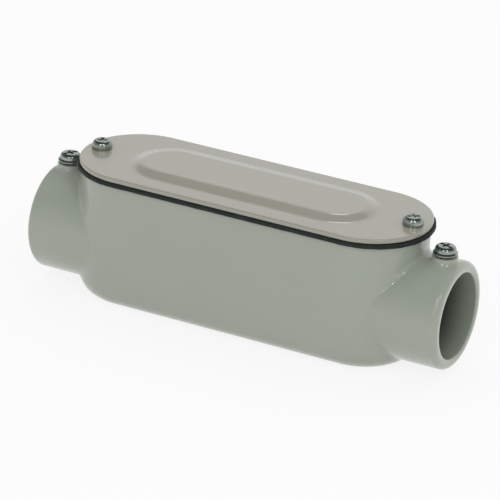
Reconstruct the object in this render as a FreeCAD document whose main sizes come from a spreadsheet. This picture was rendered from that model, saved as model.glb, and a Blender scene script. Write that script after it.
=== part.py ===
# Conduit body, straight-through pattern, for trade size 1 thin-wall conduit.
# A cast shell with a hub at each end, a gasket, a pressed cover, two cover screws
# and two set screws. Millimetres and degrees. The origin is the middle of the flat
# underside, +X runs through the hubs and +Z points up through the cover.
import FreeCAD, Part
import math
import os
import Sketcher

# Driving dimensions. Every one is a cell of the sheet and is written only here.
SIZES = {
    # hubs: the bore takes the conduit, and the other hub sizes build on it
    "bore_diameter": 29.9,
    "hub_wall": 4.1,
    "hub_reach": 14.1,          # hub beyond the end of the shell
    "hub_lift": 1.95,           # underside of the hub above the flat bottom
    "hub_rim_bevel": 1.15,
    "hub_fillet": 2.0,          # casting fillet where the hub meets the shell
    "mouth_chamfer": 0.6,
    # shell
    "shell_length": 130.6,      # at the gasket face
    "shell_cheek": 2.45,        # side of the shell beyond the side of the hub
    "neck_height": 6.95,        # gasket face above the top of the hub
    "wall": 3.0,
    "floor_thickness": 3.0,
    "draft": 0.6,               # casting draft of the walls, degrees
    "bottom_round": 7.5,
    # integral bushing: a collar in each end wall that stops the conduit
    "collar_inset": 6.7,        # collar face from the end of the shell
    "collar_wall": 3.2,
    "stop_thickness": 3.0,
    "stop_step": 1.75,          # radial height of the shoulder
    "lip_bevel": 1.6,           # flare that the wires run over
    # cover screws and their lugs
    "screw_diameter": 4.1,
    "thread_clearance": 0.05,   # radial, shank to tapped hole
    "cover_screw_inset": 5.0,   # from the end of the shell
    "cover_screw_grip": 8.0,    # length in the lug
    "hole_run_out": 1.0,        # tapped hole beyond the tip of the screw
    "lug_wall": 2.2,
    "lug_depth": 10.5,
    "pass_clearance": 0.3,      # radial, screw to the holes of cover and gasket
    "pan_head_diameter": 7.2,
    "pan_head_height": 2.4,
    "pan_head_bevel": 1.1,
    # gasket and cover
    "gasket_thickness": 1.8,
    "gasket_side_overhang": 1.1,
    "gasket_end_overhang": 1.6,
    "gasket_lip": 0.8,          # gasket inside the inner edge of the rim
    "cover_thickness": 1.6,
    "cover_overhang": 0.7,
    "cover_edge_bevel": 0.45,
    "panel_end_margin": 19.7,   # flat of the cover around the raised panel
    "panel_side_margin": 7.5,
    "panel_height": 1.3,
    "panel_slope_run": 4.0,     # width of the sloping edge of the panel
    # set screws and their bosses
    "set_screw_inset": 6.5,     # from the mouth of the hub
    "boss_diameter": 8.8,
    "boss_height": 1.95,        # above the top of the hub
    "boss_draft": 8.0,
    "boss_foot": 0.7,           # height of the flared foot above the hub
    "boss_foot_flare": 45.0,
    "washer_diameter": 8.6,
    "washer_thickness": 1.0,    # where the sloping washer meets the drum
    "washer_edge": 0.7,         # thickness of its rim
    "drum_diameter": 5.6,
    "drum_height": 1.9,
    "drum_bevel": 0.6,
    "head_gap": 0.8,            # washer above the boss with the screw backed off
    "tip_recess": 0.25,         # tip short of the bore, clear of the conduit
    # screw details
    "slot_width": 1.1,
    "slot_depth": 1.0,
    "cross_width": 1.0,
    "cross_length": 3.4,
}


class Length:
    """A length as an expression over the sheet, together with its present value."""

    def __init__(self, text, value):
        self.text = text
        self.value = value

    def _join(self, sign, other, value):
        text = other.text if isinstance(other, Length) else str(other)
        return Length(f"({self.text} {sign} {text})", value)

    def __add__(self, other):
        return self._join("+", other, self.value + number(other))

    def __sub__(self, other):
        return self._join("-", other, self.value - number(other))

    def __mul__(self, other):
        return self._join("*", other, self.value * number(other))

    def __truediv__(self, other):
        return self._join("/", other, self.value / number(other))

    def __neg__(self):
        return Length(f"(0 - {self.text})", -self.value)


def number(length):
    return length.value if isinstance(length, Length) else length


def size(name):
    return Length(f"Sizes.{name}", SIZES[name])


def smaller(first, second):
    return Length(f"min({first.text}; {second.text})", min(first.value, second.value))


# Lengths and places that follow from the driving dimensions.
BORE = size("bore_diameter")
HUB = BORE + size("hub_wall") * 2
AXIS_Z = size("hub_lift") + HUB / 2
HUB_TOP_Z = size("hub_lift") + HUB
RIM_Z = HUB_TOP_Z + size("neck_height")
SHELL_LENGTH = size("shell_length")
SHELL_WIDTH = HUB + size("shell_cheek") * 2
SHELL_END_X = SHELL_LENGTH / 2
MOUTH_X = SHELL_END_X + size("hub_reach")
COLLAR_X = SHELL_END_X - size("collar_inset")
COLLAR = BORE + size("collar_wall") * 2
STOP_X = COLLAR_X + size("stop_thickness")
THROAT_RADIUS = BORE / 2 - size("stop_step")
CHAMBER_LENGTH = SHELL_LENGTH - size("wall") * 2
CHAMBER_WIDTH = SHELL_WIDTH - size("wall") * 2
CHAMBER_CENTRE_X = (CHAMBER_LENGTH - CHAMBER_WIDTH) / 2

COVER_SCREW_X = SHELL_END_X - size("cover_screw_inset")
TAPPED_HOLE = size("screw_diameter") + size("thread_clearance") * 2
PASS_HOLE = size("screw_diameter") + size("pass_clearance") * 2
LUG = TAPPED_HOLE + size("lug_wall") * 2

GASKET_LENGTH = SHELL_LENGTH + size("gasket_end_overhang") * 2
GASKET_WIDTH = SHELL_WIDTH + size("gasket_side_overhang") * 2
GASKET_HOLE_LENGTH = CHAMBER_LENGTH - size("gasket_lip") * 2
GASKET_HOLE_WIDTH = CHAMBER_WIDTH - size("gasket_lip") * 2
COVER_LENGTH = SHELL_LENGTH + size("cover_overhang") * 2
COVER_WIDTH = SHELL_WIDTH + size("cover_overhang") * 2
COVER_UNDER_Z = RIM_Z + size("gasket_thickness")
COVER_TOP_Z = COVER_UNDER_Z + size("cover_thickness")
PANEL_LENGTH = COVER_LENGTH - size("panel_end_margin") * 2
PANEL_WIDTH = COVER_WIDTH - size("panel_side_margin") * 2

SET_SCREW_X = MOUTH_X - size("set_screw_inset")
BOSS_TOP_Z = HUB_TOP_Z + size("boss_height")
BORE_TOP_Z = AXIS_Z + BORE / 2
WASHER_Z = BOSS_TOP_Z + size("head_gap")
SET_SHANK = WASHER_Z - BORE_TOP_Z - size("tip_recess")
COVER_SHANK = size("cover_thickness") + size("gasket_thickness") + size("cover_screw_grip")
HOLE_DEPTH = size("cover_screw_grip") + size("hole_run_out")

# How far each screw was turned when it came tight: cover screw, then set screw, degrees.
SLOT_ANGLES = {"left": (115, 60), "right": (35, 160)}

TOUCH = 0.01    # how near a point must be to count as lying on a surface

# A round cut as three flats that touch its arc: the share of the radius that comes
# off the corner, and the share that then comes off each of the two edges left.
CORNER_SHARE = 0.5858
EDGE_SHARE = 0.2153


# ---------------------------------------------------------------- sketch helpers

def make_sheet(doc):
    sheet = doc.addObject("Spreadsheet::Sheet", "Sizes")
    for row, (alias, value) in enumerate(SIZES.items(), start=1):
        sheet.set(f"A{row}", alias.replace("_", " "))
        sheet.set(f"B{row}", str(value))
        sheet.setAlias(f"B{row}", alias)
    doc.recompute()


def make_body(doc, label):
    body = doc.addObject("PartDesign::Body", label)
    body.Label = label
    return body


def origin_feature(body, role):
    for feature in body.Origin.OriginFeatures:
        if feature.Role == role:
            return feature
    raise RuntimeError(f"no {role} in {body.Label}")


def sketch_on(body, name, role, offset=None):
    """A sketch on one of the body's own origin planes, moved along its normal."""
    sketch = body.newObject("Sketcher::SketchObject", name)
    sketch.AttachmentSupport = [(origin_feature(body, role), "")]
    sketch.MapMode = "FlatFace"
    if offset is not None:
        sketch.setExpression("AttachmentOffset.Base.z", offset.text)
    return sketch


def dimension(sketch, kind, parts, length, name):
    """Add a named dimension to a sketch and bind it to the sheet."""
    index = sketch.addConstraint(Sketcher.Constraint(kind, *parts, length.value))
    sketch.renameConstraint(index, name)
    sketch.setExpression(f"Constraints.{name}", length.text)


def pin_point(sketch, geometry, vertex, x, y, name):
    """Hold a point at x, y, where None stands for a place on the axis."""
    if x is None:
        sketch.addConstraint(Sketcher.Constraint("PointOnObject", geometry, vertex, -2))
    else:
        dimension(sketch, "DistanceX", (-1, 1, geometry, vertex), x, f"{name}_x")
    if y is None:
        sketch.addConstraint(Sketcher.Constraint("PointOnObject", geometry, vertex, -1))
    else:
        dimension(sketch, "DistanceY", (-1, 1, geometry, vertex), y, f"{name}_y")


def add_obround(sketch, length, width):
    """Two straight sides and two half-round ends, centred on the sketch's origin."""
    radius = width.value / 2
    centre = (length.value - width.value) / 2
    quarter = math.pi / 2
    up = FreeCAD.Vector(0, 0, 1)
    right_end = Part.Circle(FreeCAD.Vector(centre, 0, 0), up, radius)
    left_end = Part.Circle(FreeCAD.Vector(-centre, 0, 0), up, radius)
    near = sketch.addGeometry(Part.LineSegment(
        FreeCAD.Vector(-centre, -radius, 0), FreeCAD.Vector(centre, -radius, 0)))
    right = sketch.addGeometry(Part.ArcOfCircle(right_end, -quarter, quarter))
    far = sketch.addGeometry(Part.LineSegment(
        FreeCAD.Vector(centre, radius, 0), FreeCAD.Vector(-centre, radius, 0)))
    left = sketch.addGeometry(Part.ArcOfCircle(left_end, quarter, 3 * quarter))
    loop = [near, right, far, left]
    for index, piece in enumerate(loop):
        following = loop[(index + 1) % len(loop)]
        sketch.addConstraint(Sketcher.Constraint("Tangent", piece, 2, following, 1))
    sketch.addConstraint(Sketcher.Constraint("Equal", right, left))
    sketch.addConstraint(Sketcher.Constraint("Horizontal", near))
    sketch.addConstraint(Sketcher.Constraint("Symmetric", left, 3, right, 3, -1, 1))
    dimension(sketch, "DistanceX", (left, 3, right, 3), length - width, "between_centres")
    dimension(sketch, "Diameter", (right,), width, "across")


def add_circle(sketch, diameter, x, y, name="round"):
    up = FreeCAD.Vector(0, 0, 1)
    place = FreeCAD.Vector(number(x or 0), number(y or 0), 0)
    circle = sketch.addGeometry(Part.Circle(place, up, diameter.value / 2))
    pin_point(sketch, circle, 3, x, y, name)
    dimension(sketch, "Diameter", (circle,), diameter, f"{name}_diameter")
    return circle


def add_circle_pair(sketch, diameter, x):
    """Two equal circles on the sketch's horizontal axis, mirrored about the other."""
    right = add_circle(sketch, diameter, x, None)
    up = FreeCAD.Vector(0, 0, 1)
    left_centre = FreeCAD.Vector(-x.value, 0, 0)
    left = sketch.addGeometry(Part.Circle(left_centre, up, diameter.value / 2))
    sketch.addConstraint(Sketcher.Constraint("Equal", right, left))
    sketch.addConstraint(Sketcher.Constraint("Symmetric", right, 3, left, 3, -2))


def add_rectangle(sketch, length, width):
    """A rectangle centred on the sketch's origin."""
    half_x = length.value / 2
    half_y = width.value / 2
    signs = [(-1, -1), (1, -1), (1, 1), (-1, 1)]
    corners = [FreeCAD.Vector(a * half_x, b * half_y, 0) for a, b in signs]
    sides = []
    for index, corner in enumerate(corners):
        following = corners[(index + 1) % len(corners)]
        sides.append(sketch.addGeometry(Part.LineSegment(corner, following)))
    for index, side in enumerate(sides):
        following = sides[(index + 1) % len(sides)]
        sketch.addConstraint(Sketcher.Constraint("Coincident", side, 2, following, 1))
        direction = "Vertical" if index % 2 else "Horizontal"
        sketch.addConstraint(Sketcher.Constraint(direction, side))
    sketch.addConstraint(Sketcher.Constraint("Symmetric", sides[0], 1, sides[1], 2, -1, 1))
    dimension(sketch, "DistanceX", (sides[0], 1, sides[0], 2), length, "long")
    dimension(sketch, "DistanceY", (sides[1], 1, sides[1], 2), width, "wide")


def add_outline(sketch, points):
    """A closed outline of straight edges, each point (x, y) held by two dimensions."""
    places = [FreeCAD.Vector(number(x or 0), number(y or 0), 0) for x, y in points]
    edges = []
    for index, start in enumerate(places):
        end = places[(index + 1) % len(places)]
        edges.append(sketch.addGeometry(Part.LineSegment(start, end)))
    for index, edge in enumerate(edges):
        following = edges[(index + 1) % len(edges)]
        sketch.addConstraint(Sketcher.Constraint("Coincident", edge, 2, following, 1))
        pin_point(sketch, edge, 1, *points[index], f"point{index}")


def extrude(body, kind, name, sketch, length, both_ways=False, reverse=False, taper=None):
    """A Pad or a Pocket of a sketch."""
    feature = body.newObject(f"PartDesign::{kind}", name)
    feature.Profile = sketch
    feature.setExpression("Length", length.text)
    feature.Reversed = reverse
    if both_ways:
        feature.SideType = "Symmetric"
    if taper is not None:
        feature.setExpression("TaperAngle", taper.text)
    sketch.Document.recompute()
    return feature


def turn(body, kind, name, sketch, axis):
    """A full Revolution or Groove of a sketch about an axis."""
    feature = body.newObject(f"PartDesign::{kind}", name)
    feature.Profile = sketch
    feature.ReferenceAxis = axis
    feature.Angle = 360
    sketch.Document.recompute()
    return feature


def loft(body, kind, name, lower, upper):
    """An AdditiveLoft or SubtractiveLoft from one sketch to another."""
    feature = body.newObject(f"PartDesign::{kind}", name)
    feature.Profile = lower
    feature.Sections = [upper]
    feature.Ruled = True
    lower.Document.recompute()
    return feature


def mirror(body, name, originals):
    """Repeat features at the other end, across the middle plane between the hubs."""
    feature = body.newObject("PartDesign::Mirrored", name)
    feature.Originals = originals
    feature.MirrorPlane = (origin_feature(body, "YZ_Plane"), [""])
    body.Tip = feature
    body.Document.recompute()
    return feature


def edges_where(feature, test):
    """Names of a feature's edges whose sampled points all pass a test."""
    names = []
    for index, edge in enumerate(feature.Shape.Edges, start=1):
        if edge.Degenerated:
            continue
        points = edge.discretize(9)
        if all(test(point) for point in points):
            names.append(f"Edge{index}")
    return names


def finish_edges(body, kind, name, base, test, reach):
    """A Fillet or a Chamfer on the edges that pass a test."""
    names = edges_where(base, test)
    if not names:
        raise RuntimeError(f"{name}: no edge found")
    feature = body.newObject(f"PartDesign::{kind}", name)
    feature.Base = (base, names)
    feature.setExpression("Size" if kind == "Chamfer" else "Radius", reach.text)
    base.Document.recompute()
    return feature


def at_height(length):
    return lambda point: abs(point.z - length.value) < TOUCH


def on_ground(point):
    return abs(point.z) < TOUCH


def on_hub(point):
    """Whether a point lies on the outside of the hubs."""
    return abs(math.hypot(point.y, point.z - AXIS_Z.value) - HUB.value / 2) < TOUCH


# --------------------------------------------------------------------- the pieces

def make_casting(doc):
    """The cast shell with its hubs, bosses, bushings, lugs and tapped holes."""
    body = make_body(doc, "body_casting")

    outline = sketch_on(body, "ShellOutline", "XY_Plane", RIM_Z)
    add_obround(outline, SHELL_LENGTH, SHELL_WIDTH)
    shell = extrude(body, "Pad", "Shell", outline, RIM_Z, reverse=True, taper=-size("draft"))
    corner_cut = size("bottom_round") * CORNER_SHARE
    corner = finish_edges(body, "Chamfer", "BottomCorner", shell, on_ground, corner_cut)
    finish_edges(body, "Chamfer", "BottomRound", corner,
                 lambda point: on_ground(point) or at_height(corner_cut)(point),
                 size("bottom_round") * EDGE_SHARE)

    hub_circle = sketch_on(body, "HubCircle", "YZ_Plane")
    add_circle(hub_circle, HUB, None, AXIS_Z)
    hubs = extrude(body, "Pad", "Hubs", hub_circle, MOUTH_X * 2, both_ways=True)
    junction = finish_edges(
        body, "Fillet", "HubFillet", hubs,
        lambda point: on_hub(point) and abs(point.x) < SHELL_END_X.value + TOUCH,
        size("hub_fillet"))
    finish_edges(body, "Chamfer", "HubRimBevel", junction,
                 lambda point: abs(abs(point.x) - MOUTH_X.value) < TOUCH,
                 size("hub_rim_bevel"))

    boss_circles = sketch_on(body, "BossCircles", "XY_Plane", BOSS_TOP_Z)
    add_circle_pair(boss_circles, size("boss_diameter"), SET_SCREW_X)
    extrude(body, "Pad", "Bosses", boss_circles, BOSS_TOP_Z - BORE_TOP_Z,
            reverse=True, taper=size("boss_draft"))
    # the foot goes as deep as the hub's curve falls away beside the boss
    foot_circles = sketch_on(body, "BossFootCircles", "XY_Plane", HUB_TOP_Z + size("boss_foot"))
    add_circle_pair(foot_circles, size("boss_diameter"), SET_SCREW_X)
    extrude(body, "Pad", "BossFeet", foot_circles, size("boss_foot") * 2.5,
            reverse=True, taper=size("boss_foot_flare"))

    chamber_outline = sketch_on(body, "ChamberOutline", "XY_Plane", RIM_Z)
    add_obround(chamber_outline, CHAMBER_LENGTH, CHAMBER_WIDTH)
    chamber = extrude(body, "Pocket", "Chamber", chamber_outline,
                      RIM_Z - size("floor_thickness"), taper=-size("draft"))
    finish_edges(body, "Chamfer", "FloorBevel", chamber, at_height(size("floor_thickness")),
                 size("bottom_round") - size("wall"))

    collar_circle = sketch_on(body, "CollarCircle", "YZ_Plane", COLLAR_X)
    add_circle(collar_circle, COLLAR, None, AXIS_Z)
    collar = extrude(body, "Pad", "Collar", collar_circle, size("collar_inset"))
    mirror(body, "OtherCollar", [collar])

    lug_circles = sketch_on(body, "LugCircles", "XY_Plane", RIM_Z)
    add_circle_pair(lug_circles, LUG, COVER_SCREW_X)
    extrude(body, "Pad", "Lugs", lug_circles, size("lug_depth"), reverse=True)

    bore_profile = sketch_on(body, "BoreProfile", "XZ_Plane")
    draw_bore(bore_profile)
    bore = turn(body, "Groove", "Bore", bore_profile, (bore_profile, ["Axis0"]))
    mirror(body, "OtherBore", [bore])

    cover_holes = sketch_on(body, "CoverScrewHoles", "XY_Plane", RIM_Z)
    add_circle_pair(cover_holes, TAPPED_HOLE, COVER_SCREW_X)
    extrude(body, "Pocket", "CoverScrewTapping", cover_holes, HOLE_DEPTH)
    set_holes = sketch_on(body, "SetScrewHoles", "XY_Plane", BOSS_TOP_Z)
    add_circle_pair(set_holes, TAPPED_HOLE, SET_SCREW_X)
    extrude(body, "Pocket", "SetScrewTapping", set_holes, BOSS_TOP_Z - AXIS_Z)
    return body


def draw_bore(sketch):
    """Half section of the conduit bore, its stop and the bell-mouthed throat."""
    lip = size("lip_bevel")
    throat_z = AXIS_Z + THROAT_RADIUS
    bore_z = AXIS_Z + BORE / 2
    chamfer = size("mouth_chamfer")
    add_outline(sketch, [
        (MOUTH_X, AXIS_Z),
        (MOUTH_X, bore_z + chamfer),
        (MOUTH_X - chamfer, bore_z),
        (STOP_X, bore_z),
        (STOP_X, throat_z),
        (COLLAR_X + lip, throat_z),
        (COLLAR_X, throat_z + lip),
        (CHAMBER_CENTRE_X, throat_z + lip),
        (CHAMBER_CENTRE_X, AXIS_Z),
    ])
    start = FreeCAD.Vector(CHAMBER_CENTRE_X.value, AXIS_Z.value, 0)
    end = FreeCAD.Vector(MOUTH_X.value, AXIS_Z.value, 0)
    axis = sketch.addGeometry(Part.LineSegment(start, end), True)
    pin_point(sketch, axis, 1, CHAMBER_CENTRE_X, AXIS_Z, "axis_start")
    pin_point(sketch, axis, 2, MOUTH_X, AXIS_Z, "axis_end")


def make_gasket(doc):
    """A die-cut neoprene ring with an ear round each cover screw."""
    body = make_body(doc, "gasket")
    outline = sketch_on(body, "GasketOutline", "XY_Plane", RIM_Z)
    add_obround(outline, GASKET_LENGTH, GASKET_WIDTH)
    thickness = size("gasket_thickness")
    extrude(body, "Pad", "GasketSlab", outline, thickness)

    opening = sketch_on(body, "GasketOpening", "XY_Plane", COVER_UNDER_Z)
    add_obround(opening, GASKET_HOLE_LENGTH, GASKET_HOLE_WIDTH)
    extrude(body, "Pocket", "GasketHole", opening, thickness)
    ears = sketch_on(body, "GasketEars", "XY_Plane", RIM_Z)
    add_circle_pair(ears, LUG, COVER_SCREW_X)
    extrude(body, "Pad", "Ears", ears, thickness)
    holes = sketch_on(body, "GasketScrewHoles", "XY_Plane", COVER_UNDER_Z)
    add_circle_pair(holes, PASS_HOLE, COVER_SCREW_X)
    extrude(body, "Pocket", "GasketPassHoles", holes, thickness)
    return body


def make_cover(doc):
    """A pressed cover with a raised, slope-sided panel, hollow underneath."""
    body = make_body(doc, "cover")
    outline = sketch_on(body, "CoverOutline", "XY_Plane", COVER_UNDER_Z)
    add_obround(outline, COVER_LENGTH, COVER_WIDTH)
    sheet = extrude(body, "Pad", "CoverSheet", outline, size("cover_thickness"))
    finish_edges(body, "Chamfer", "CoverEdge", sheet, at_height(COVER_TOP_Z),
                 smaller(size("cover_edge_bevel"), size("cover_thickness") * 0.5))

    height = size("panel_height")
    run = size("panel_slope_run")
    foot = panel_sketch(body, "PanelFoot", COVER_TOP_Z, PANEL_LENGTH, PANEL_WIDTH)
    plateau = panel_sketch(body, "PanelPlateau", COVER_TOP_Z + height,
                           PANEL_LENGTH - run * 2, PANEL_WIDTH - run * 2)
    loft(body, "AdditiveLoft", "Panel", foot, plateau)

    # the hollow keeps the sheet's thickness square to the slope
    shift = size("cover_thickness") * height / run / 2
    hollow_foot = panel_sketch(body, "HollowFoot", COVER_UNDER_Z,
                               PANEL_LENGTH - shift * 2, PANEL_WIDTH - shift * 2)
    hollow_top = panel_sketch(body, "HollowTop", COVER_UNDER_Z + height,
                              PANEL_LENGTH - (run + shift) * 2,
                              PANEL_WIDTH - (run + shift) * 2)
    loft(body, "SubtractiveLoft", "PanelHollow", hollow_foot, hollow_top)

    holes = sketch_on(body, "CoverPassHoles", "XY_Plane", COVER_TOP_Z)
    add_circle_pair(holes, PASS_HOLE, COVER_SCREW_X)
    extrude(body, "Pocket", "PassHoles", holes, size("cover_thickness"))
    return body


def panel_sketch(body, name, height, length, width):
    sketch = sketch_on(body, name, "XY_Plane", height)
    add_obround(sketch, length, width)
    return sketch


def make_screw(doc, label, shank, head_points):
    """A screw standing on its tip, turned from a half section and slotted.

    head_points run from under the head to its crown.
    """
    body = make_body(doc, label)
    radius = size("screw_diameter") / 2
    crown = head_points[-1][1]
    profile = sketch_on(body, f"{label}_profile", "XZ_Plane")
    add_outline(profile, [
        (None, None),
        (radius, None),
        (radius, shank),
        *head_points,
        (None, crown),
    ])
    turn(body, "Revolution", f"{label}_turned", profile, (profile, ["V_Axis"]))
    head = head_points[0][0] * 2
    recesses = [("slot", head * 2, size("slot_width")),
                ("cross", size("cross_width"), size("cross_length"))]
    for name, length, width in recesses:
        sketch = sketch_on(body, f"{label}_{name}", "XY_Plane", crown)
        add_rectangle(sketch, length, width)
        extrude(body, "Pocket", f"{label}_{name}_cut", sketch, size("slot_depth"))
    return body


def place_screw(body, x, seat_z, shank, slot_angle):
    """Stand a screw on its seat with its slot turned by an angle in degrees."""
    body.Placement.Rotation = FreeCAD.Rotation(FreeCAD.Vector(0, 0, 1), slot_angle)
    body.setExpression("Placement.Base.x", x.text)
    body.setExpression("Placement.Base.z", (seat_z - shank).text)


def make_cover_screw(doc, label, x, slot_angle):
    """Pan-head screw that clamps the cover and the gasket to a lug."""
    radius = size("pan_head_diameter") / 2
    bevel = size("pan_head_bevel")
    crown = COVER_SHANK + size("pan_head_height")
    body = make_screw(doc, label, COVER_SHANK, [
        (radius, COVER_SHANK),
        (radius, crown - bevel),
        (radius - bevel, crown),
    ])
    place_screw(body, x, COVER_TOP_Z, COVER_SHANK, slot_angle)


def make_set_screw(doc, label, x, slot_angle):
    """Washer-head screw that clamps the conduit through the hub's boss."""
    washer = size("washer_diameter") / 2
    drum = size("drum_diameter") / 2
    bevel = size("drum_bevel")
    washer_top = SET_SHANK + size("washer_thickness")
    crown = washer_top + size("drum_height")
    body = make_screw(doc, label, SET_SHANK, [
        (washer, SET_SHANK),
        (washer, SET_SHANK + size("washer_edge")),
        (drum, washer_top),
        (drum, crown - bevel),
        (drum - bevel, crown),
    ])
    place_screw(body, x, WASHER_Z, SET_SHANK, slot_angle)


def check_and_export(doc, labels):
    """Stop on any failed object or bad solid, then write one STEP file a piece."""
    doc.recompute()
    for item in doc.Objects:
        if "Invalid" in item.State or "Error" in item.State:
            raise RuntimeError(f"{item.Name} failed: {item.State}")
    os.makedirs("parts", exist_ok=True)
    for label in labels:
        piece = doc.getObjectsByLabel(label)[0]
        shape = piece.Shape
        if shape.isNull() or not shape.isValid() or not shape.Solids:
            raise RuntimeError(f"{label} has no valid solid")
        print(label, len(shape.Solids), "solid", round(shape.Volume, 1), "mm3")
        shape.exportStep(f"parts/{label}.step")


def main():
    doc = FreeCAD.newDocument("conduit_body")
    make_sheet(doc)
    make_casting(doc)
    make_gasket(doc)
    make_cover(doc)
    for side, sign in (("left", -1), ("right", 1)):
        cover_angle, set_angle = SLOT_ANGLES[side]
        make_cover_screw(doc, f"cover_screw_{side}", COVER_SCREW_X * sign, cover_angle)
        make_set_screw(doc, f"set_screw_{side}", SET_SCREW_X * sign, set_angle)
    labels = [item.Label for item in doc.Objects if item.TypeId == "PartDesign::Body"]
    check_and_export(doc, labels)


main()
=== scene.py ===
"""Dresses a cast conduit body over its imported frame: casting, gasket, cover and screws."""
import math

import bmesh
import bpy
import numpy as np
from mathutils import Matrix, Vector


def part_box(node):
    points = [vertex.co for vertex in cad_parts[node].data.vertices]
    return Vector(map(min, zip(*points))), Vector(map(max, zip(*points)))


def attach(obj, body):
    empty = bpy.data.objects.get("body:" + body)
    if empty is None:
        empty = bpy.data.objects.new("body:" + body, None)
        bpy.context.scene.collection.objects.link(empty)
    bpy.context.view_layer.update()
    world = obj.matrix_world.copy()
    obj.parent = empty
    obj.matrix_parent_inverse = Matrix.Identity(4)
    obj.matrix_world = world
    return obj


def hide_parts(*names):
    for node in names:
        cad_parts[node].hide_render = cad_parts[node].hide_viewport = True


bl_info = {
    "name": "Conduit Body",
    "version": (1, 0, 0),
    "blender": (4, 5, 0),
    "location": "3D View > Sidebar > Conduit Body",
    "description": "Enamelled casting, gasket, pressed cover and zinc screws of a conduit body",
    "category": "Object",
}

MM = 0.001
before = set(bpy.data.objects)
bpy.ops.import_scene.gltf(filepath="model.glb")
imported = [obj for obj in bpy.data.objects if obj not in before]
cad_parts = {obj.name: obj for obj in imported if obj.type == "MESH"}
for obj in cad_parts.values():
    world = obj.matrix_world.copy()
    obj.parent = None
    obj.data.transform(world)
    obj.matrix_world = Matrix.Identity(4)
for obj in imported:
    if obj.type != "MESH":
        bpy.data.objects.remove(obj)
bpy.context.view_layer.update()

CASTING_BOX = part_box("body_casting")
COVER_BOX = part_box("cover")
GASKET_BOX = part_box("gasket")
SIDES = ("left", "right")

# points and rows that the rounded surfaces are drawn with
TURNED_POINTS = 96          # round a screw
HOLE_POINTS = 64            # round a screw hole
BOTTOM_STEPS = 10           # up the round at the shell's foot
RIM_STEPS = 8               # along the round of a hub's mouth
GASKET_EDGE_ROWS = 9
PANEL_ROWS = 25             # across a sloping edge of the cover's panel
SHEET_EDGE_STEPS = 6
PAN_DOME_STEPS = 10
DRUM_ROUND_STEPS = 8
THREAD_ROWS = 10            # in one pitch
SWEEP_ROWS = 17             # round the curve from the floor to the backdrop

# edges that turn by more than this stay crisp
SHEET_SMOOTH = math.radians(50)
SCREW_SMOOTH = math.radians(40)

# The solid's foot has three flats in the round's place. A share of the radius comes off
# the corner, then a share off each of the two edges left, measured along its faces.
CORNER_SHARE = 0.5858
EDGE_SHARE = 0.2153
EDGE_STEP = EDGE_SHARE / math.sqrt(2)
FLAT_ENDS = np.array([0, EDGE_STEP, CORNER_SHARE - EDGE_STEP, CORNER_SHARE + EDGE_SHARE])

SCREW_HOLE = 2.35 * MM      # radius of the cover screws' holes in gasket and cover
WAVES = (0.9, 2.3)          # of the gasket's cut edge, in radians a millimetre
FLANK = (1.4, 0.2)          # steepness and offset that clip a thread to crest and root
TIP_CHAMFER = 0.1 * MM
SLOT_FLARE = 1.12           # width of a recess at its top, as a share of its floor's
CROSS_WIDTH = 0.9           # width of a recess's short arm, as a share of the slot's
CUTTER_ROOM = 1 * MM        # how far a cutter stands clear of what it cuts
WASHER_LIP = 0.2 * MM       # small bevels of a set screw's washer
MIRROR_HEIGHTS = (-0.05, 0.75)  # sines of the heights between which wall turns into roof


# ------------------------------------------------------------------ colours and nodes

def linear(hex_colour):
    """An sRGB hex colour as linear red, green, blue and a full alpha.

    Each channel c in 0..1 becomes c / 12.92 below 0.04045, else ((c + 0.055) / 1.055) ** 2.4.
    """
    channels = np.array([int(hex_colour[i:i + 2], 16) for i in (0, 2, 4)]) / 255
    low = channels / 12.92
    high = ((channels + 0.055) / 1.055) ** 2.4
    return (*np.where(channels <= 0.04045, low, high).tolist(), 1.0)


def add_node(tree, kind, inputs=None, **settings):
    """Add one node, set its settings, and set or link each of its inputs."""
    made = tree.nodes.new(kind)
    for name, value in settings.items():
        setattr(made, name, value)
    for key, value in (inputs or {}).items():
        if isinstance(value, bpy.types.NodeSocket):
            tree.links.new(value, made.inputs[key])
        else:
            made.inputs[key].default_value = value
    return made


def per_metre(millimetres):
    """A texture scale whose features are about this many millimetres across."""
    return 1 / (millimetres * MM)


def blank_material(name):
    """A new material with an empty node tree."""
    material = bpy.data.materials.new(name)
    material.use_nodes = True
    material.node_tree.nodes.clear()
    return material


# -------------------------------------------------------------------------- settings

def length(name, description, millimetres):
    """A setting in metres with its default given in millimetres."""
    return bpy.props.FloatProperty(
        name=name, description=description, default=millimetres * MM,
        min=0, precision=5, subtype="DISTANCE", unit="LENGTH")


def angle(name, description, degrees):
    """A setting in radians with its default given in degrees."""
    return bpy.props.FloatProperty(
        name=name, description=description, default=math.radians(degrees),
        subtype="ANGLE", unit="ROTATION")


def colour(name, description, hex_colour):
    """A colour setting with its default given as sRGB hex."""
    return bpy.props.FloatVectorProperty(
        name=name, description=description, default=linear(hex_colour),
        size=4, min=0, max=1, subtype="COLOR")


def factor(name, description, value):
    """A setting between 0 and 1."""
    return bpy.props.FloatProperty(
        name=name, description=description, default=value, min=0, max=1, subtype="FACTOR")


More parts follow.
